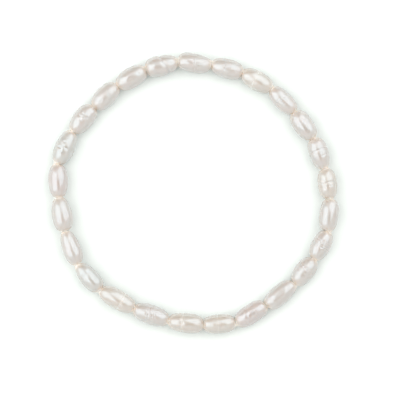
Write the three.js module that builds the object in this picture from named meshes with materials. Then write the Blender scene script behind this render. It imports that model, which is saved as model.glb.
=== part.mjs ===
// Bracelet of drilled freshwater pearls on an elastic thread, lying flat in one closed loop.
// Millimetres, +Z up. It rests on z = 0 and is centred on the origin. pearl_01 is at the back,
// left of the middle, and the others follow it clockwise as seen from above.

import * as THREE from "three";

// A middling pearl: along the thread, across it in the loop's plane, and upright
const PEARL_LENGTH = 7.15;
const PEARL_WIDTH = 4.4;
const PEARL_HEIGHT = 4.3;

// The elastic thread, its free play in the drilled hole, and the flat ring round the hole's mouth
const THREAD_DIAMETER = 0.6;
const THREAD_PLAY = 0.12;
const MOUTH_LAND = 0.2;

// What stays open between two neighbours at the inner side of their bend
const JOINT_CLEARANCE = 0.08;

// Half the length of a groove round a pearl
const GROOVE_REACH = 0.4;

// Direction of the joint before pearl_01, seen from the loop's centre
const FIRST_JOINT_ANGLE = THREE.MathUtils.degToRad(111);

// Facets of the meshes
const PEARL_SIDES = 16;
const PEARL_SECTIONS = 12;
const THREAD_SIDES = 8;

const TONES = {
  ivory: 0xe2dacb,
  cream: 0xe6dcc6,
  rose: 0xd9c8bc,
  sage: 0xd2d1c3,
};
const THREAD_COLOUR = 0xece6da;

// The pearls, clockwise. Read along a pearl from its first end to its last:
// long, wide    length and width as shares of the middling pearl's
// outer, inner  where its outer and inner side stand widest, as shares of its length
// start, end    how blunt the two ends are: 2 is an ellipse, more is squarer
// lean          degrees by which its last end swings outwards from the thread
// groove, deep  where a groove runs round it and how deep it is, as shares of length and width
// joint         distance of the joint after it from the loop's centre, as a share of the radius
const PEARL_COLUMNS = [
  "long", "wide", "outer", "inner", "start", "end", "lean", "groove", "deep", "joint", "tone",
];
const PEARLS = [
  [0.98, 1.05, 0.40, 0.42, 2.5, 2.1, -1, 0.60, 0.035, 0.990, "ivory"],
  [1.01, 0.98, 0.30, 0.58, 2.4, 2.0, -3, 0.56, 0.010, 0.974, "ivory"],
  [0.96, 0.98, 0.55, 0.50, 2.1, 2.4, -1, 0.42, 0.010, 0.974, "ivory"],
  [0.98, 0.98, 0.50, 0.50, 2.3, 2.2, -1, 0.43, 0.010, 0.979, "cream"],
  [0.97, 0.93, 0.50, 0.50, 2.1, 2.3, 1, 0.55, 0.010, 0.970, "ivory"],
  [0.98, 1.02, 0.51, 0.42, 2.2, 2.2, -1, 0.38, 0.010, 0.990, "ivory"],
  [0.96, 0.98, 0.42, 0.46, 2.5, 2.0, -2, 0.38, 0.030, 1.006, "ivory"],
  [0.91, 0.98, 0.50, 0.50, 2.2, 2.1, -2, 0.44, 0.030, 1.028, "cream"],
  [0.97, 0.98, 0.50, 0.50, 2.4, 2.4, -4, 0.50, 0.000, 1.053, "ivory"],
  [0.92, 0.98, 0.50, 0.45, 2.2, 2.1, -2, 0.45, 0.010, 1.036, "ivory"],
  [0.92, 1.03, 0.45, 0.50, 2.1, 2.2, 2, 0.45, 0.010, 1.022, "ivory"],
  [1.08, 0.99, 0.60, 0.50, 2.2, 2.5, 3, 0.22, 0.015, 1.006, "ivory"],
  [1.04, 0.98, 0.50, 0.45, 2.4, 2.4, 2, 0.64, 0.020, 1.026, "rose"],
  [0.96, 0.97, 0.45, 0.50, 2.3, 2.4, 1, 0.54, 0.015, 0.994, "cream"],
  [1.05, 1.00, 0.45, 0.42, 2.4, 2.2, 0, 0.62, 0.025, 0.977, "cream"],
  [1.10, 0.99, 0.50, 0.50, 2.2, 2.3, 0, 0.575, 0.020, 0.975, "ivory"],
  [1.15, 0.97, 0.50, 0.50, 2.4, 2.1, -1, 0.37, 0.025, 1.006, "cream"],
  [1.00, 0.96, 0.40, 0.45, 2.3, 1.9, 0, 0.63, 0.025, 1.019, "ivory"],
  [1.07, 0.93, 0.39, 0.39, 2.0, 1.9, 0, 0.60, 0.010, 1.002, "ivory"],
  [1.03, 1.04, 0.41, 0.44, 2.2, 2.0, 1, 0.50, 0.000, 1.006, "ivory"],
  [1.00, 0.99, 0.48, 0.52, 2.2, 2.1, 0, 0.50, 0.000, 1.040, "rose"],
  [1.05, 1.03, 0.42, 0.45, 2.1, 2.0, 2, 0.52, 0.030, 1.014, "sage"],
  [0.97, 1.06, 0.50, 0.52, 2.1, 2.2, 3, 0.55, 0.015, 0.984, "ivory"],
  [0.95, 1.03, 0.50, 0.45, 2.1, 2.2, 3, 0.62, 0.010, 0.983, "ivory"],
  [0.97, 1.03, 0.45, 0.50, 2.0, 2.4, 2, 0.64, 0.015, 0.990, "ivory"],
].map((row) => Object.fromEntries(PEARL_COLUMNS.map((column, i) => [column, row[i]])));

const BORE_RADIUS = THREAD_DIAMETER / 2 + THREAD_PLAY;
const LAND_RADIUS = BORE_RADIUS + MOUTH_LAND;
const THREAD_HEIGHT = PEARL_HEIGHT / 2;
const COUNT = PEARLS.length;
const FULL_TURN = 2 * Math.PI;

const lengthOf = (pearl) => pearl.long * PEARL_LENGTH;
const before = (i) => (i + COUNT - 1) % COUNT;

// The turn, seen from the centre, between two joints at radii a and b that are a span apart.
function turnBetween(a, b, span) {
  return Math.acos((a * a + b * b - span * span) / (2 * a * b));
}

// The turns of all pearls for one radius of the loop.
function turnsAt(radius, spans) {
  return PEARLS.map((pearl, i) =>
    turnBetween(radius * PEARLS[before(i)].joint, radius * pearl.joint, spans[i]),
  );
}

// The radius at which the spans close the loop, halved in until two numbers have none between them.
function closingRadius(spans) {
  const sum = (values) => values.reduce((total, value) => total + value, 0);
  let low = sum(spans) / FULL_TURN / 2;
  let high = low * 4;
  let radius = (low + high) / 2;
  while (radius > low && radius < high) {
    if (sum(turnsAt(radius, spans)) > FULL_TURN) low = radius;
    else high = radius;
    radius = (low + high) / 2;
  }
  return radius;
}

// Joint i lies after pearl i. Each gap follows its bend, so that the ends' inner rims stay clear.
function layLoop(bends) {
  const gaps = bends.map((bend) => JOINT_CLEARANCE + 2 * LAND_RADIUS * Math.tan(bend / 2));
  const spans = PEARLS.map((pearl, i) => lengthOf(pearl) + (gaps[before(i)] + gaps[i]) / 2);
  const radius = closingRadius(spans);
  let angle = FIRST_JOINT_ANGLE;
  const joints = turnsAt(radius, spans).map((turn, i) => {
    angle -= turn;
    const reach = radius * PEARLS[i].joint;
    return new THREE.Vector2(reach * Math.cos(angle), reach * Math.sin(angle));
  });
  const headings = joints.map((joint, i) => joint.clone().sub(joints[before(i)]).angle());
  return { gaps, joints, headings };
}

// The bend at each joint of a laid loop, from its pearl's heading to the next one's.
function bendsOf(loop) {
  return loop.headings.map((heading, i) => {
    const next = loop.headings[(i + 1) % COUNT];
    return (heading - next + FULL_TURN) % FULL_TURN;
  });
}

// Half-width of a pearl at share t of its length, from 0 at both ends to 1 where it is widest.
function fullness(pearl, t, peak) {
  const ahead = t > peak;
  const away = ahead ? (t - peak) / (1 - peak) : (peak - t) / peak;
  const bluntness = ahead ? pearl.end : pearl.start;
  return (1 - away ** bluntness) ** (1 / bluntness);
}

function grooveAt(pearl, t) {
  const away = ((t - pearl.groove) * lengthOf(pearl)) / (GROOVE_REACH / 2);
  return pearl.deep * PEARL_WIDTH * Math.exp(-away * away);
}

// Outer surface at share t of the length and at a side angle: 0 faces outwards, a quarter turn up.
function skinPoint(pearl, t, side) {
  const outwards = (1 + Math.cos(side)) / 2;
  const peak = pearl.inner + (pearl.outer - pearl.inner) * outwards;
  const full = fullness(pearl, t, peak);
  const cut = grooveAt(pearl, t);
  const reachTo = (most) => LAND_RADIUS + (most - LAND_RADIUS) * full - cut;
  const across = reachTo((pearl.wide * PEARL_WIDTH) / 2);
  const upright = reachTo(Math.sin(side) > 0 ? pearl.wide * THREAD_HEIGHT : THREAD_HEIGHT);
  const along = (t - 0.5) * lengthOf(pearl);
  const lean = Math.tan(THREE.MathUtils.degToRad(pearl.lean)) * along * (1 - (2 * t - 1) ** 4);
  return new THREE.Vector3(along, Math.cos(side) * across + lean, Math.sin(side) * upright);
}

// Shares of the length where the skin has a section: close together at the ends and at a groove.
function sectionShares(pearl) {
  const shares = [];
  for (let i = 0; i <= PEARL_SECTIONS; i += 1) {
    shares.push((1 - Math.cos((Math.PI * i) / PEARL_SECTIONS)) / 2);
  }
  if (pearl.deep > 0) {
    const reach = GROOVE_REACH / lengthOf(pearl);
    const inGroove = (share) => Math.abs(share - pearl.groove) < reach;
    const kept = shares.filter((share) => !inGroove(share));
    kept.push(pearl.groove - reach / 2, pearl.groove, pearl.groove + reach / 2);
    return kept.sort((a, b) => a - b);
  }
  return shares;
}

// A pearl lies along X with its outer side towards +Y, and its thread runs through the origin.
// A lathe turns its outer outline and its bore, and each ring then takes the pearl's own section.
function pearlGeometry(pearl) {
  const half = lengthOf(pearl) / 2;
  const borePoint = (along, side) =>
    new THREE.Vector3(along, BORE_RADIUS * Math.cos(side), BORE_RADIUS * Math.sin(side));
  const rings = [
    ...sectionShares(pearl).map((t) => (side) => skinPoint(pearl, t, side)),
    (side) => borePoint(half, side),
    (side) => borePoint(-half, side),
    (side) => skinPoint(pearl, 0, side),
  ];
  const outline = rings.map((ring) => new THREE.Vector2(ring(0).y, ring(0).x));
  const geometry = new THREE.LatheGeometry(outline, PEARL_SIDES);
  const position = geometry.getAttribute("position");
  for (let column = 0; column <= PEARL_SIDES; column += 1) {
    const side = (FULL_TURN * column) / PEARL_SIDES;
    rings.forEach((ring, row) => {
      position.setXYZ(column * rings.length + row, ...ring(side).toArray());
    });
  }
  geometry.computeVertexNormals();
  return geometry;
}

// The thread's line, which a tube with one section at each joint follows.
class ThreadLine extends THREE.Curve {
  constructor(joints) {
    super();
    this.corners = joints.map((joint) => new THREE.Vector3(joint.x, joint.y, THREAD_HEIGHT));
  }

  corner(i) {
    return this.corners[(i + COUNT) % COUNT];
  }

  getPointAt(share) {
    return this.corner(Math.round(share * COUNT)).clone();
  }

  getTangentAt(share) {
    const i = Math.round(share * COUNT);
    const arriving = this.corner(i).clone().sub(this.corner(i - 1)).normalize();
    const leaving = this.corner(i + 1).clone().sub(this.corner(i)).normalize();
    return arriving.add(leaving).normalize();
  }
}

function pearlMaterial(tone) {
  return new THREE.MeshStandardMaterial({ color: TONES[tone], roughness: 0.25, metalness: 0 });
}

function threadMaterial() {
  return new THREE.MeshStandardMaterial({ color: THREAD_COLOUR, roughness: 0.5, metalness: 0 });
}

function strungPearl(pearl, i, loop) {
  const mesh = new THREE.Mesh(pearlGeometry(pearl), pearlMaterial(pearl.tone));
  const first = loop.joints[before(i)];
  const along = loop.gaps[before(i)] / 2 + lengthOf(pearl) / 2;
  const heading = loop.headings[i];
  mesh.position.set(
    first.x + along * Math.cos(heading),
    first.y + along * Math.sin(heading),
    THREAD_HEIGHT,
  );
  mesh.rotation.z = heading;
  mesh.name = `pearl_${String(i + 1).padStart(2, "0")}`;
  return mesh;
}

function elasticThread(loop) {
  const line = new ThreadLine(loop.joints);
  const geometry = new THREE.TubeGeometry(line, COUNT, THREAD_DIAMETER / 2, THREAD_SIDES, true);
  const mesh = new THREE.Mesh(geometry, threadMaterial());
  mesh.name = "elastic_thread";
  return mesh;
}

// Laid once with even bends, and then with gaps that follow the bends it found
const roughLoop = layLoop(PEARLS.map(() => FULL_TURN / COUNT));
const loop = layLoop(bendsOf(roughLoop));

const string = new THREE.Group();
string.add(...PEARLS.map((pearl, i) => strungPearl(pearl, i, loop)), elasticThread(loop));

const box = new THREE.Box3().setFromObject(string, true);
const middle = box.getCenter(new THREE.Vector3());
string.position.set(-middle.x, -middle.y, -box.min.z);

const bracelet = new THREE.Group();
bracelet.add(string);

export default bracelet;
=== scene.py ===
"""Looks of the pearl bracelet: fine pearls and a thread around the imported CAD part, seen from above."""

import math

import bpy
import numpy as np
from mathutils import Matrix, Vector


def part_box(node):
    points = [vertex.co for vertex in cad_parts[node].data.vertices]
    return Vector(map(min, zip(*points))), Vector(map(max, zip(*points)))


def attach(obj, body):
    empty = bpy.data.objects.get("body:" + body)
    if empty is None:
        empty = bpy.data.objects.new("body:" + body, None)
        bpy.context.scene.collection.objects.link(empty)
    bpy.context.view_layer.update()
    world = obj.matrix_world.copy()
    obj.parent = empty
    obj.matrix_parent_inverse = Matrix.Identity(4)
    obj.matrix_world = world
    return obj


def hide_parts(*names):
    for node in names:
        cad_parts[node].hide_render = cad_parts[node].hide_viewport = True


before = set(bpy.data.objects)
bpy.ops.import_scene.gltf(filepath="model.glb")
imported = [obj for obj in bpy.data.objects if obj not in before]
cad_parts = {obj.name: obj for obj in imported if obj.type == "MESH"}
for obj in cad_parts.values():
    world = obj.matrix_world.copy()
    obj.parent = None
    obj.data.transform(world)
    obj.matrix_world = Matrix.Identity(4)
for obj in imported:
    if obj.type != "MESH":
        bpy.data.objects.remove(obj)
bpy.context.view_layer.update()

MM = 0.001
FULL_TURN = 2 * math.pi

# The CAD's sizes, in metres
PEARL_LENGTH = 7.15 * MM
PEARL_WIDTH = 4.4 * MM
PEARL_HEIGHT = 4.3 * MM
THREAD_DIAMETER = 0.6 * MM
THREAD_PLAY = 0.12 * MM
MOUTH_LAND = 0.2 * MM
JOINT_CLEARANCE = 0.08 * MM
FIRST_JOINT_ANGLE = math.radians(111)

BORE_RADIUS = THREAD_DIAMETER / 2 + THREAD_PLAY
LAND_RADIUS = BORE_RADIUS + MOUTH_LAND
THREAD_HEIGHT = PEARL_HEIGHT / 2

# The fine skin lies this far inside the CAD's, so that it never stands out of its box
SKIN_INSET = 0.015 * MM

# Between two neighbours' mouths, which lean towards each other
MOUTH_GAP = 0.01 * MM

# The bluntest fine end: the CAD's bluntest ones would leave a deep dark crevice between two pearls
BLUNTEST = 2.36

# How far a pearl has swollen at its mouths, from 0 to 1 at its widest, and over which part of the swelling
# the lean of the mouths and the painted light in their creases fade
MOUTH_SWELLING = 0.08
LEAN_REACH = 0.16
CREASE_REACH = 0.22

# How far from a joint the creamy tint of the mouths reaches along a pearl
TINT_REACH = 0.75 * MM

# The slow swells of a pearl's skin
SWELL_DEPTH = 0.03 * MM

# Grooves of a smaller depth than this, as a share of the pearl's width, fade towards the crest
SHALLOW_GROOVE = 0.02
CREST_SHARE = 0.3

# Facets
PEARL_SIDES = 88
PEARL_SECTIONS = 190
BORE_SECTIONS = 6
THREAD_SIDES = 20
THREAD_STEPS = 8
THREAD_ROUNDING = 1.0 * MM

# The pearls, clockwise, with the same columns as in the CAD
PEARL_COLUMNS = (
    "long", "wide", "outer", "inner", "start", "end", "lean", "groove", "deep", "joint", "tone",
)
PEARL_ROWS = (
    (0.98, 1.05, 0.40, 0.42, 2.5, 2.1, -1, 0.60, 0.035, 0.990, "ivory"),
    (1.01, 0.98, 0.30, 0.58, 2.4, 2.0, -3, 0.56, 0.010, 0.974, "ivory"),
    (0.96, 0.98, 0.55, 0.50, 2.1, 2.4, -1, 0.42, 0.010, 0.974, "ivory"),
    (0.98, 0.98, 0.50, 0.50, 2.3, 2.2, -1, 0.43, 0.010, 0.979, "cream"),
    (0.97, 0.93, 0.50, 0.50, 2.1, 2.3, 1, 0.55, 0.010, 0.970, "ivory"),
    (0.98, 1.02, 0.51, 0.42, 2.2, 2.2, -1, 0.38, 0.010, 0.990, "ivory"),
    (0.96, 0.98, 0.42, 0.46, 2.5, 2.0, -2, 0.38, 0.030, 1.006, "ivory"),
    (0.91, 0.98, 0.50, 0.50, 2.2, 2.1, -2, 0.44, 0.030, 1.028, "cream"),
    (0.97, 0.98, 0.50, 0.50, 2.4, 2.4, -4, 0.50, 0.000, 1.053, "ivory"),
    (0.92, 0.98, 0.50, 0.45, 2.2, 2.1, -2, 0.45, 0.010, 1.036, "ivory"),
    (0.92, 1.03, 0.45, 0.50, 2.1, 2.2, 2, 0.45, 0.010, 1.022, "ivory"),
    (1.08, 0.99, 0.60, 0.50, 2.2, 2.5, 3, 0.22, 0.015, 1.006, "ivory"),
    (1.04, 0.98, 0.50, 0.45, 2.4, 2.4, 2, 0.64, 0.020, 1.026, "rose"),
    (0.96, 0.97, 0.45, 0.50, 2.3, 2.4, 1, 0.54, 0.015, 0.994, "cream"),
    (1.05, 1.00, 0.45, 0.42, 2.4, 2.2, 0, 0.62, 0.025, 0.977, "cream"),
    (1.10, 0.99, 0.50, 0.50, 2.2, 2.3, 0, 0.575, 0.020, 0.975, "ivory"),
    (1.15, 0.97, 0.50, 0.50, 2.4, 2.1, -1, 0.37, 0.025, 1.006, "cream"),
    (1.00, 0.96, 0.40, 0.45, 2.3, 1.9, 0, 0.63, 0.025, 1.019, "sage"),
    (1.07, 0.93, 0.39, 0.39, 2.0, 1.9, 0, 0.60, 0.010, 1.002, "ivory"),
    (1.03, 1.04, 0.41, 0.44, 2.2, 2.0, 1, 0.50, 0.000, 1.006, "ivory"),
    (1.00, 0.99, 0.48, 0.52, 2.2, 2.1, 0, 0.50, 0.000, 1.040, "rose"),
    (1.05, 1.03, 0.42, 0.45, 2.1, 2.0, 2, 0.52, 0.030, 1.014, "sage"),
    (0.97, 1.06, 0.50, 0.52, 2.1, 2.2, 3, 0.55, 0.015, 0.984, "ivory"),
    (0.95, 1.03, 0.50, 0.45, 2.1, 2.2, 3, 0.62, 0.010, 0.983, "ivory"),
    (0.97, 1.03, 0.45, 0.50, 2.0, 2.4, 2, 0.64, 0.015, 0.990, "ivory"),
)
PEARLS = [dict(zip(PEARL_COLUMNS, row)) for row in PEARL_ROWS]
COUNT = len(PEARLS)

# A pearl's groove: share of the CAD's depth, reach to each side in mm, and how far it swings along the pearl
# from its crest to its outer side, as a share of the length
USUAL_GROOVE = (0.6, 0.25, 0)
GROOVES = {
    1: (1.3, 0.38, -0.10),
    7: (0.5, 0.20, 0),
    8: (0.5, 0.20, 0),
    13: (0.6, 0.32, 0.10),
    15: (0.5, 0.50, 0),
    16: (0.35, 0.22, 0),
    17: (0.4, 0.40, 0),
    18: (0.5, 0.40, 0),
    22: (0.3, 0.35, 0.08),
    25: (0.2, 0.25, 0),
}

# Growth rings of a pearl: share of its length, depth and half width in mm, slant as above,
# middle of the ring in degrees round from the outer side, and how far it reaches from there
RINGS = {
    2: ((0.46, 0.012, 0.10, 0.0, 90, 90), (0.60, 0.016, 0.10, 0.0, 90, 90)),
    5: ((0.40, 0.016, 0.10, 0.03, 100, 60), (0.50, 0.014, 0.09, 0.02, 100, 60)),
    7: ((0.60, 0.030, 0.15, -0.02, 60, 55),),
    8: ((0.34, 0.022, 0.11, 0.02, 120, 60), (0.58, 0.030, 0.14, 0.0, 110, 80)),
    10: ((0.36, 0.020, 0.11, 0.02, 120, 70), (0.55, 0.020, 0.10, 0.0, 110, 70)),
    11: ((0.34, 0.020, 0.10, 0.0, 110, 70), (0.57, 0.024, 0.11, 0.02, 110, 80)),
    14: (
        (0.45, 0.020, 0.09, 0.0, 90, 90),
        (0.63, 0.022, 0.09, 0.0, 90, 90),
        (0.73, 0.014, 0.09, 0.0, 90, 90),
    ),
    16: (
        (0.38, 0.034, 0.12, -0.02, 80, 60),
        (0.46, 0.028, 0.11, -0.01, 80, 50),
        (0.58, 0.030, 0.11, 0.0, 80, 60),
        (0.65, 0.028, 0.11, 0.0, 80, 60),
    ),
    18: ((0.68, 0.020, 0.16, 0.0, 20, 60),),
    19: ((0.66, 0.018, 0.12, 0.04, 120, 60),),
    23: ((0.44, 0.016, 0.10, 0.05, 90, 50),),
}

# Fine close-set rings: from and to as shares of the length, pitch and depth in mm
STRIATIONS = {
    2: (0.42, 0.64, 0.54, 0.055),
    3: (0.34, 0.64, 0.56, 0.055),
    5: (0.32, 0.64, 0.54, 0.060),
    8: (0.25, 0.62, 0.50, 0.025),
    10: (0.28, 0.60, 0.54, 0.055),
    11: (0.28, 0.60, 0.54, 0.060),
    13: (0.30, 0.56, 0.50, 0.030),
    14: (0.40, 0.76, 0.52, 0.035),
    16: (0.34, 0.66, 0.50, 0.020),
    19: (0.45, 0.75, 0.45, 0.016),
    22: (0.66, 0.92, 0.46, 0.035),
    24: (0.42, 0.82, 0.50, 0.030),
}

# Dents: share of the length, degrees round from the outer side, reach along and round it, depth, in mm
DENTS = {
    1: ((0.79, 84, 0.32, 0.38, 0.09), (0.36, 96, 0.50, 0.40, 0.05)),
    2: ((0.68, 93, 0.80, 0.30, 0.06),),
    3: ((0.82, 95, 0.30, 0.30, 0.09),),
    5: ((0.80, 95, 0.30, 0.30, 0.08),),
    6: ((0.40, 70, 0.35, 0.50, 0.09), (0.72, 90, 0.45, 0.35, 0.07)),
    10: ((0.36, 96, 0.28, 0.30, 0.07), (0.56, 84, 0.28, 0.28, 0.07)),
    11: ((0.40, 100, 0.30, 0.30, 0.08), (0.62, 82, 0.30, 0.30, 0.08)),
    12: ((0.45, 62, 0.9, 0.25, 0.07), (0.45, 100, 0.9, 0.30, 0.07)),
    22: (
        (0.44, 62, 0.28, 0.42, 0.11),
        (0.50, 98, 0.26, 0.30, 0.09),
        (0.64, 76, 0.28, 0.38, 0.08),
        (0.33, 96, 0.26, 0.28, 0.08),
        (0.74, 60, 0.28, 0.40, 0.06),
    ),
    23: (
        (0.42, 84, 0.26, 0.42, 0.075),
        (0.50, 64, 0.22, 0.30, 0.080),
        (0.54, 92, 0.22, 0.24, 0.085),
        (0.62, 74, 0.20, 0.28, 0.075),
        (0.62, 106, 0.22, 0.24, 0.070),
    ),
    24: ((0.30, 92, 0.45, 0.25, 0.07),),
    25: ((0.46, 92, 0.50, 0.25, 0.07), (0.76, 92, 0.30, 0.34, 0.09)),
}

# Matt creamy bands: share of the length, half width in mm, strength
BANDS = {
    4: (0.43, 0.7, 0.5),
    14: (0.54, 0.2, 0.25),
    15: (0.62, 0.4, 0.6),
    17: (0.37, 0.5, 0.6),
}

# Body colour and blush of the nacre for each tone, the colours of mouths and bands, and the painted light in
# the creases between mouths
TONES = {
    "ivory": ((0.53, 0.488, 0.447), (0.54, 0.478, 0.437)),
    "cream": ((0.545, 0.495, 0.435), (0.55, 0.485, 0.425)),
    "rose": ((0.53, 0.472, 0.437), (0.54, 0.462, 0.427)),
    "sage": ((0.51, 0.487, 0.447), (0.52, 0.485, 0.442)),
}
MOUTH_CREAM = (0.58, 0.50, 0.43)
# Painted light: the creases between neighbours' mouths are lightened to stand in for light that the nacre
# lets into them
CREASE_PAINTED_LIGHT = (0.82, 0.76, 0.69)
BAND_PALE = (0.74, 0.70, 0.64)

# Colour of the mirrored light on the body and in the creases
BODY_LUSTRE = (0.70, 0.88, 1)
CREASE_LUSTRE = (0.92, 0.90, 0.86)

# The floor and the white walls
FLOOR_COLOUR = (0.785, 0.832, 0.815, 1)
FLOOR_REACH = 3.0
WALL_COLOUR = (1, 0.98, 0.955, 1)
WALL_LIGHT = 1.04

# Dimmer patches of the walls: zenith and azimuth of the middle, how far from it the patch is full and
# where it ends, in degrees, and the share of the light that is left in it
WALL_PATCHES = (
    (12, 288, 8, 20, 0.3),
    (80, 108, 18, 48, 0.2),
    (55, 330, 20, 45, 0.9),
)

# Panels: zenith and azimuth in degrees, width and height in m, radiance, and whether the pearls mirror it
PANEL_DISTANCE = 0.6
PANELS = {
    "softbox_left": (42, 182, 0.64, 0.66, 1.31, True),
    "softbox_right": (44, 38, 0.70, 0.72, 1.21, True),
    "softbox_back": (66, 138, 0.44, 0.40, 1.1, False),
}

# The photograph's width at the pearls' mid height, and its middle
FRAME_WIDTH = 88 * MM
FRAME_MIDDLE = (1.39 * MM, -1.55 * MM)
LENS = 240
SENSOR = 36


def length_of(pearl):
    return pearl["long"] * PEARL_LENGTH


def turns_at(radius, spans):
    """The turns of all pearls, seen from the centre, for one radius of the loop."""
    turns = []
    for i, span in enumerate(spans):
        a = radius * PEARLS[i - 1]["joint"]
        b = radius * PEARLS[i]["joint"]
        turns.append(math.acos((a * a + b * b - span * span) / (2 * a * b)))
    return turns


def closing_radius(spans):
    """The radius at which the spans close the loop."""
    low = sum(spans) / FULL_TURN / 2
    high = low * 4
    radius = (low + high) / 2
    while low < radius < high:
        if sum(turns_at(radius, spans)) > FULL_TURN:
            low = radius
        else:
            high = radius
        radius = (low + high) / 2
    return radius


def lay_loop(bends):
    """Gaps, joints and headings of the loop, where joint i lies after pearl i."""
    gaps = [JOINT_CLEARANCE + 2 * LAND_RADIUS * math.tan(bend / 2) for bend in bends]
    spans = [length_of(pearl) + (gaps[i - 1] + gaps[i]) / 2 for i, pearl in enumerate(PEARLS)]
    radius = closing_radius(spans)
    angle = FIRST_JOINT_ANGLE
    joints = []
    for turn, pearl in zip(turns_at(radius, spans), PEARLS):
        angle -= turn
        reach = radius * pearl["joint"]
        joints.append(np.array((reach * math.cos(angle), reach * math.sin(angle))))
    steps = [joints[i] - joints[i - 1] for i in range(COUNT)]
    headings = [math.atan2(step[1], step[0]) for step in steps]
    return gaps, joints, headings


def bends_of(headings):
    return [(headings[i] - headings[(i + 1) % COUNT]) % FULL_TURN for i in range(COUNT)]


def hill(distance, reach):
    """A smooth hill of height 1 that is nearly flat beyond its reach."""
    return np.exp(-((distance / reach) ** 2))


def turned(side, middle):
    """Angles from a middle, in degrees, both ways round."""
    return np.degrees(np.angle(np.exp(1j * (side - math.radians(middle)))))


def lumps(number, t, side):
    """Slow swells of the skin from 0 to 1, different on each pearl."""
    draw = np.random.default_rng(number)
    total = np.zeros_like(t)
    for wave in range(7):
        along, around = draw.integers(1, 5), draw.integers(0, 4)
        shift = draw.uniform(0, FULL_TURN)
        strength = draw.uniform(0.5, 1.0) / (1 + 0.5 * (along + around))
        total += strength * np.cos(math.pi * along * t + around * side + shift)
    return (total - total.min()) / (total.max() - total.min())


def marks(number, pearl, t, side):
    """Depth of the rings, fine rings and dents of a pearl, in metres, and its matt bands from 0 to 1."""
    length = length_of(pearl)
    depth = np.zeros_like(t)
    for share, deep, half_width, slant, middle, spread in RINGS.get(number, ()):
        off = (t - share - slant * np.cos(side)) * length
        depth += deep * MM * hill(off, half_width * MM) * hill(turned(side, middle), spread)
    if number in STRIATIONS:
        first, last, pitch, deep = STRIATIONS[number]
        draw = np.random.default_rng(100 + number)
        wobble = 0.25 * np.sin(2 * side + draw.uniform(0, FULL_TURN))
        phase = t * length / (pitch * MM) + wobble
        uneven = 0.6 + 0.4 * np.cos(0.37 * FULL_TURN * phase + draw.uniform(0, FULL_TURN))
        window = hill(t - (first + last) / 2, (last - first) / 2)
        depth += deep * MM * window * uneven * (0.5 + 0.5 * np.cos(FULL_TURN * phase)) ** 3
    for share, middle, along, around, deep in DENTS.get(number, ()):
        off_along = (t - share) * length
        off_around = np.radians(turned(side, middle)) * PEARL_WIDTH / 2
        depth += deep * MM * hill(off_along, along * MM) * hill(off_around, around * MM)
    band = np.zeros_like(t)
    if number in BANDS:
        share, half_width, strength = BANDS[number]
        band = strength * hill((t - share) * length, half_width * MM)
    return depth, band


def skin(number, pearl, t, side):
    """Outer surface at shares t of the length and side angles: local x, y and z, swelling and matt band."""
    length = length_of(pearl)
    outwards = (1 + np.cos(side)) / 2
    peak = pearl["inner"] + (pearl["outer"] - pearl["inner"]) * outwards
    ahead = t > peak
    away = np.where(ahead, (t - peak) / (1 - peak), (peak - t) / peak)
    bluntness = np.minimum(np.where(ahead, pearl["end"], pearl["start"]), BLUNTEST)
    full = np.maximum(1 - away ** bluntness, MOUTH_SWELLING ** bluntness) ** (1 / bluntness)
    share, reach, slant = GROOVES.get(number, USUAL_GROOVE)
    groove = pearl["groove"] + slant * np.cos(side)
    cut = share * pearl["deep"] * PEARL_WIDTH * hill((t - groove) * length, reach * MM)
    if pearl["deep"] < SHALLOW_GROOVE:
        cut = cut * (CREST_SHARE + (1 - CREST_SHARE) * np.cos(side) ** 2)
    depth, band = marks(number, pearl, t, side)
    swell = SWELL_DEPTH * lumps(number, t, side)
    sunk = SKIN_INSET + cut + (depth + swell) * full

    def reach_to(most):
        return LAND_RADIUS + (most - LAND_RADIUS) * full - sunk

    across = reach_to(pearl["wide"] * PEARL_WIDTH / 2)
    top = pearl["wide"] * THREAD_HEIGHT
    upright = reach_to(np.where(np.sin(side) > 0, top, THREAD_HEIGHT))
    along = (t - 0.5) * length
    lean = math.tan(math.radians(pearl["lean"])) * along * (1 - (2 * t - 1) ** 4)
    return along, np.cos(side) * across + lean, np.sin(side) * upright, full, band


def mesh_object(name, points, faces, material, **values):
    """A smooth mesh from points and faces, with named values at its points, riding on the CAD's body."""
    mesh = bpy.data.meshes.new(name)
    mesh.from_pydata(points.tolist(), [], faces)
    for value_name, numbers in values.items():
        kind = "FLOAT_VECTOR" if numbers.ndim == 2 else "FLOAT"
        layer = mesh.attributes.new(value_name, kind, "POINT")
        layer.data.foreach_set("vector" if numbers.ndim == 2 else "value", numbers.ravel())
    mesh.materials.append(material)
    mesh.shade_smooth()
    piece = bpy.data.objects.new(name, mesh)
    bpy.context.scene.collection.objects.link(piece)
    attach(piece, "root")
    return piece


def closed_grid(rings, sides):
    """Faces of rings that follow each other round a closed section, turned outwards."""
    faces = []
    for ring in range(rings):
        after = (ring + 1) % rings
        for side in range(sides):
            beside = (side + 1) % sides
            faces.append((
                ring * sides + side,
                after * sides + side,
                after * sides + beside,
                ring * sides + beside,
            ))
    return faces


def mouth_lean(y, gap, bend):
    """How far the mouth leans out at a distance from its middle, to halfway between the neighbours."""
    return np.maximum((gap - MOUTH_GAP) / 2 + y * math.tan(bend / 2), 0)


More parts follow.
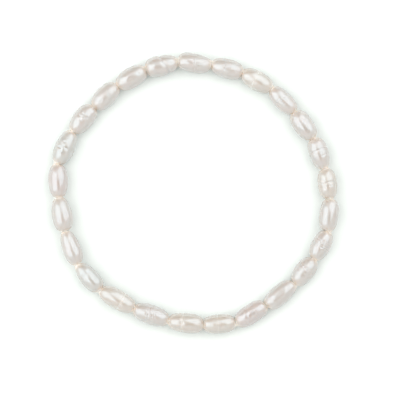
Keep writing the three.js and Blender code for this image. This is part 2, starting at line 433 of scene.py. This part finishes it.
def make_pearl(number, loop, bends):
    """One drilled pearl in its place on the loop: its points, faces and values at its points."""
    pearl = PEARLS[number - 1]
    gaps, joints, headings = loop
    before, after = number - 2, number - 1
    half = length_of(pearl) / 2
    shares = (1 - np.cos(math.pi * np.arange(PEARL_SECTIONS + 1) / PEARL_SECTIONS)) / 2
    bore_shares = np.linspace(1, 0, BORE_SECTIONS + 1)
    sides = np.arange(PEARL_SIDES) / PEARL_SIDES * FULL_TURN
    t, side = np.meshgrid(shares, sides, indexing="ij")
    x, y, z, full, band = skin(number, pearl, t, side)
    bore_t, bore_side = np.meshgrid(bore_shares, sides, indexing="ij")
    x = np.vstack((x, (bore_t - 0.5) * 2 * half))
    y = np.vstack((y, BORE_RADIUS * np.cos(bore_side)))
    z = np.vstack((z, BORE_RADIUS * np.sin(bore_side)))
    inside = np.zeros_like(bore_t)
    swollen = np.vstack((full - MOUTH_SWELLING, inside))
    band = np.vstack((band, inside))
    # Where the creases between neighbours' mouths get painted light and a warmer lustre
    crease = hill(swollen, CREASE_REACH)
    warmth = hill(half - np.abs(x) + JOINT_CLEARANCE, TINT_REACH)
    leaning = hill(swollen, LEAN_REACH) * np.abs(x) / half
    x = x + np.where(x > 0, mouth_lean(y, gaps[after], bends[after]), 0) * leaning
    x = x - np.where(x < 0, mouth_lean(y, gaps[before], bends[before]), 0) * leaning
    heading = headings[after]
    cos, sin = math.cos(heading), math.sin(heading)
    middle = joints[before] + (gaps[before] / 2 + half) * np.array((cos, sin))
    points = np.stack((
        middle[0] + x * cos - y * sin,
        middle[1] + x * sin + y * cos,
        THREAD_HEIGHT + z,
    ), axis=-1).reshape(-1, 3)
    grain = np.stack((x, y, z), axis=-1).reshape(-1, 3) / MM + np.array((0, 20 * number, 0))
    return points, closed_grid(len(swollen), PEARL_SIDES), {
        "grain": grain,
        "warmth": warmth.ravel(),
        "crease": crease.ravel(),
        "band": band.ravel(),
    }


def make_thread(joints):
    """Points and faces of the thread: a closed tube that is rounded off at each joint."""
    path = []
    for i in range(COUNT):
        here = joints[i]
        back = joints[i - 1] - here
        on = joints[(i + 1) % COUNT] - here
        first = here + back / np.linalg.norm(back) * THREAD_ROUNDING
        last = here + on / np.linalg.norm(on) * THREAD_ROUNDING
        for u in np.linspace(0, 1, THREAD_STEPS):
            path.append((1 - u) ** 2 * first + 2 * u * (1 - u) * here + u * u * last)
    path = np.array(path)
    onward = np.roll(path, -1, axis=0) - np.roll(path, 1, axis=0)
    onward /= np.linalg.norm(onward, axis=1, keepdims=True)
    outward = np.stack((-onward[:, 1], onward[:, 0]), axis=1)
    sides = np.arange(THREAD_SIDES) / THREAD_SIDES * FULL_TURN
    radius = THREAD_DIAMETER / 2 - SKIN_INSET
    flat = path[:, None, :] + outward[:, None, :] * (radius * np.cos(sides))[None, :, None]
    upright = np.broadcast_to(THREAD_HEIGHT + radius * np.sin(sides), flat.shape[:2])
    points = np.concatenate((flat, upright[..., None]), axis=2).reshape(-1, 3)
    return points, closed_grid(len(path), THREAD_SIDES)


def new_material(name):
    material = bpy.data.materials.new(name)
    material.use_nodes = True
    return material, material.node_tree, material.node_tree.nodes["Principled BSDF"]


def node(tree, kind, **settings):
    made = tree.nodes.new(kind)
    for name, value in settings.items():
        if name in made.inputs:
            made.inputs[name].default_value = value
        else:
            setattr(made, name, value)
    return made


def value_of(tree, name):
    return node(tree, "ShaderNodeAttribute", attribute_name=name)


def mixed(tree, share, first, second):
    """A colour mix, where the first and second may be a colour or a socket, steered by a socket."""
    mix = node(tree, "ShaderNodeMix", data_type="RGBA")
    tree.links.new(share, mix.inputs[0])
    for socket, colour in ((mix.inputs[6], first), (mix.inputs[7], second)):
        if isinstance(colour, tuple):
            socket.default_value = (*colour, 1)
        else:
            tree.links.new(colour, socket)
    return mix.outputs[2]


def scaled(tree, source, low, high, to_low, to_high):
    """A number stretched from one range to another, and kept inside it."""
    ranged = node(tree, "ShaderNodeMapRange")
    tree.links.new(source, ranged.inputs["Value"])
    ranged.inputs["From Min"].default_value = low
    ranged.inputs["From Max"].default_value = high
    ranged.inputs["To Min"].default_value = to_low
    ranged.inputs["To Max"].default_value = to_high
    return ranged.outputs["Result"]


def noise(tree, scale, detail, roughness):
    grain = value_of(tree, "grain")
    made = node(tree, "ShaderNodeTexNoise", Scale=scale, Detail=detail, Roughness=roughness)
    tree.links.new(grain.outputs["Vector"], made.inputs["Vector"])
    return made.outputs["Fac"]


def nacre(name, body, blush):
    """Lustrous nacre: a mottled body colour, creamy mouths, duller bands, painted light in the mouths'
    creases and a fine uneven skin.
    """
    material, tree, shader = new_material(name)
    colour = mixed(tree, scaled(tree, noise(tree, 0.45, 2, 0.5), 0.35, 0.65, 0, 1), body, blush)
    band = scaled(tree, value_of(tree, "band").outputs["Fac"], 0, 1, 0, 0.6)
    colour = mixed(tree, band, colour, BAND_PALE)
    warmth = scaled(tree, value_of(tree, "warmth").outputs["Fac"], 0, 1, 0, 1)
    colour = mixed(tree, warmth, colour, MOUTH_CREAM)
    # Painted light in the creases between neighbouring mouths
    colour = mixed(tree, value_of(tree, "crease").outputs["Fac"], colour, CREASE_PAINTED_LIGHT)
    tree.links.new(colour, shader.inputs["Base Color"])
    rough = node(tree, "ShaderNodeMath", operation="ADD")
    tree.links.new(scaled(tree, noise(tree, 1.3, 3, 0.6), 0.3, 0.7, 0.10, 0.14), rough.inputs[0])
    tree.links.new(scaled(tree, value_of(tree, "band").outputs["Fac"], 0, 1, 0, 0.3), rough.inputs[1])
    tree.links.new(rough.outputs["Value"], shader.inputs["Roughness"])
    bump = node(tree, "ShaderNodeBump", Strength=0.15, Distance=0.02 * MM)
    tree.links.new(noise(tree, 0.9, 1, 0.4), bump.inputs["Height"])
    tree.links.new(bump.outputs["Normal"], shader.inputs["Normal"])
    shader.inputs["IOR"].default_value = 2.5
    lustre = mixed(tree, value_of(tree, "crease").outputs["Fac"], BODY_LUSTRE, CREASE_LUSTRE)
    tree.links.new(lustre, shader.inputs["Specular Tint"])
    shader.inputs["Subsurface Weight"].default_value = 1
    shader.inputs["Subsurface Radius"].default_value = (1.0, 0.88, 0.78)
    shader.inputs["Subsurface Scale"].default_value = 0.8 * MM
    return material


def stretch_cord():
    """Slightly see-through creamy elastic."""
    material, tree, shader = new_material("stretch_cord")
    colour = mixed(tree, noise(tree, 3.0, 2, 0.5), (0.78, 0.70, 0.58), (0.84, 0.78, 0.68))
    tree.links.new(colour, shader.inputs["Base Color"])
    shader.inputs["Roughness"].default_value = 0.35
    shader.inputs["Subsurface Weight"].default_value = 0.5
    shader.inputs["Subsurface Radius"].default_value = (1.0, 0.8, 0.6)
    shader.inputs["Subsurface Scale"].default_value = 0.5 * MM
    return material


def direction_of(zenith, azimuth):
    """A direction from two angles in degrees."""
    zenith, azimuth = math.radians(zenith), math.radians(azimuth)
    level = math.sin(zenith)
    return Vector((level * math.cos(azimuth), level * math.sin(azimuth), math.cos(zenith)))


def softbox(name, zenith, azimuth, width, height, radiance, mirrored):
    """An evenly bright panel that faces the bracelet from a direction."""
    place = direction_of(zenith, azimuth) * PANEL_DISTANCE
    light = bpy.data.lights.new(name, "AREA")
    light.shape = "RECTANGLE"
    light.size, light.size_y = width, height
    light.energy = radiance * math.pi * width * height
    lamp = bpy.data.objects.new(name, light)
    lamp.location = place
    lamp.rotation_euler = (-place).to_track_quat("-Z", "Y").to_euler()
    lamp.visible_camera = False
    lamp.visible_glossy = mirrored
    bpy.context.scene.collection.objects.link(lamp)


def set_walls():
    """White walls all round, dimmer near the zenith, behind the top and slightly so at the lower right."""
    world = bpy.data.worlds.new("world")
    bpy.context.scene.world = world
    world.use_nodes = True
    tree = world.node_tree
    outwards = node(tree, "ShaderNodeTexCoord").outputs["Generated"]
    strength = node(tree, "ShaderNodeValue").outputs["Value"]
    strength.default_value = WALL_LIGHT
    for zenith, azimuth, near, far, left in WALL_PATCHES:
        dot = node(tree, "ShaderNodeVectorMath", operation="DOT_PRODUCT")
        tree.links.new(outwards, dot.inputs[0])
        dot.inputs[1].default_value = direction_of(zenith, azimuth)
        edge, core = math.cos(math.radians(far)), math.cos(math.radians(near))
        product = node(tree, "ShaderNodeMath", operation="MULTIPLY")
        tree.links.new(strength, product.inputs[0])
        tree.links.new(scaled(tree, dot.outputs["Value"], edge, core, 1, left), product.inputs[1])
        strength = product.outputs["Value"]
    background = tree.nodes["Background"]
    background.inputs["Color"].default_value = WALL_COLOUR
    tree.links.new(strength, background.inputs["Strength"])


def stage_floor():
    """The pale floor under the bracelet."""
    corners = [(x * FLOOR_REACH, y * FLOOR_REACH, 0) for x, y in ((-1, -1), (1, -1), (1, 1), (-1, 1))]
    mesh = bpy.data.meshes.new("floor")
    mesh.from_pydata(corners, [], [(0, 1, 2, 3)])
    floor = bpy.data.objects.new("floor", mesh)
    bpy.context.scene.collection.objects.link(floor)
    material, tree, shader = new_material("white_floor")
    shader.inputs["Base Color"].default_value = FLOOR_COLOUR
    shader.inputs["Roughness"].default_value = 0.7
    shader.inputs["Specular IOR Level"].default_value = 0.2
    mesh.materials.append(material)


def add_camera():
    """Straight above the photograph's middle, at the distance that gives the frame its width."""
    camera_data = bpy.data.cameras.new("camera")
    camera_data.lens = LENS
    camera_data.sensor_width = SENSOR
    camera_data.clip_start = 0.01
    camera = bpy.data.objects.new("camera", camera_data)
    distance = FRAME_WIDTH * LENS / SENSOR
    camera.location = (*FRAME_MIDDLE, distance + THREAD_HEIGHT)
    bpy.context.scene.collection.objects.link(camera)
    bpy.context.scene.camera = camera


rough_loop = lay_loop([FULL_TURN / COUNT] * COUNT)
bends = bends_of(rough_loop[2])
loop = lay_loop(bends)

nacres = {tone: nacre(f"nacre_{tone}", *colours) for tone, colours in TONES.items()}
names = [f"pearl_{number:02d}" for number in range(1, COUNT + 1)]
made = [make_pearl(number, loop, bends) for number in range(1, COUNT + 1)]

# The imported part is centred, so the loop moves by the mean offset of its pearls
offsets = []
for name, (points, _, _) in zip(names, made):
    low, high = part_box(name)
    offsets.append((np.array(low) + np.array(high))[:2] / 2 - (points.min(0) + points.max(0))[:2] / 2)
offset = np.mean(offsets, axis=0)

for name, pearl, (points, faces, values) in zip(names, PEARLS, made):
    points[:, :2] += offset
    piece = mesh_object(f"nacre_{name}", points, faces, nacres[pearl["tone"]], **values)
    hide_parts(name)

points, faces = make_thread(loop[1])
points[:, :2] += offset
thread = mesh_object("stretch_thread", points, faces, stretch_cord(), grain=points / MM)
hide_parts("elastic_thread")

stage_floor()
set_walls()
for name, settings in PANELS.items():
    softbox(name, *settings)
add_camera()
bpy.context.scene.view_settings.view_transform = "Standard"
